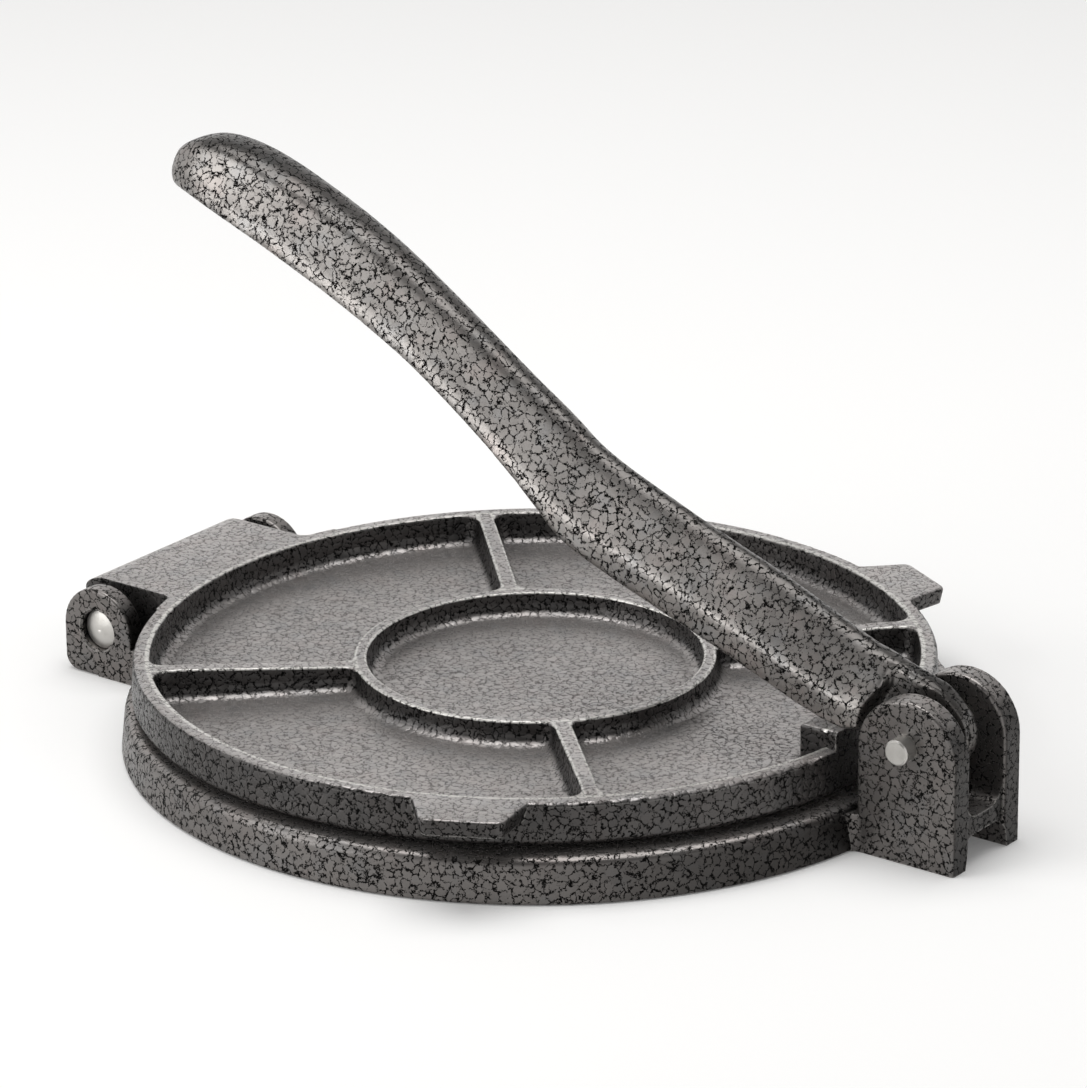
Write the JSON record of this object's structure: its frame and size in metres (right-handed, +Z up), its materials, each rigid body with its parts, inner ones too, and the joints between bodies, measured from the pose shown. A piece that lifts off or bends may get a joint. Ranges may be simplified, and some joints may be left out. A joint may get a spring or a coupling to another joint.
{
  "type": "tortilla press",
  "caption": "Round cast-iron press with a hinged, ribbed top plate and a cranked hand lever pinned in a clevis, shown closed.",
  "frame": {"origin": "on the table, halfway between the hinge end and the clevis end, in the plane of symmetry", "axes": "+X from the plate's hinge towards the lever's clevis, +Z up, +Y across"},
  "size_m": [0.2658, 0.2132, 0.1418],
  "materials": {
    "hammered_iron": "grey hammered coating with fine black crackle, semi-gloss",
    "pin_steel": "bright zinc-plated steel"
  },
  "bodies": {
    "base": {"base_casting": "hammered_iron", "hinge_pin": "pin_steel", "lever_pin": "pin_steel"},
    "plate": {"top_plate": "hammered_iron"},
    "lever": {"lever": "hammered_iron"}
  },
  "joints": [
    {"name": "lever_pivot", "type": "hinge", "parent": "base", "child": "lever", "pos_m": [0.11865, 0, 0.0303], "axis": [0, 1, 0], "range_deg": [0, 150]},
    {"name": "plate_hinge", "type": "hinge", "parent": "base", "child": "plate", "pos_m": [-0.11925, 0, 0.0127], "axis": [0, -1, 0], "range_deg": [0, 14.25]}
  ],
  "couplings": [
    {"joint": "plate_hinge", "follows": "lever_pivot", "ratio": 0.095}
  ]
}
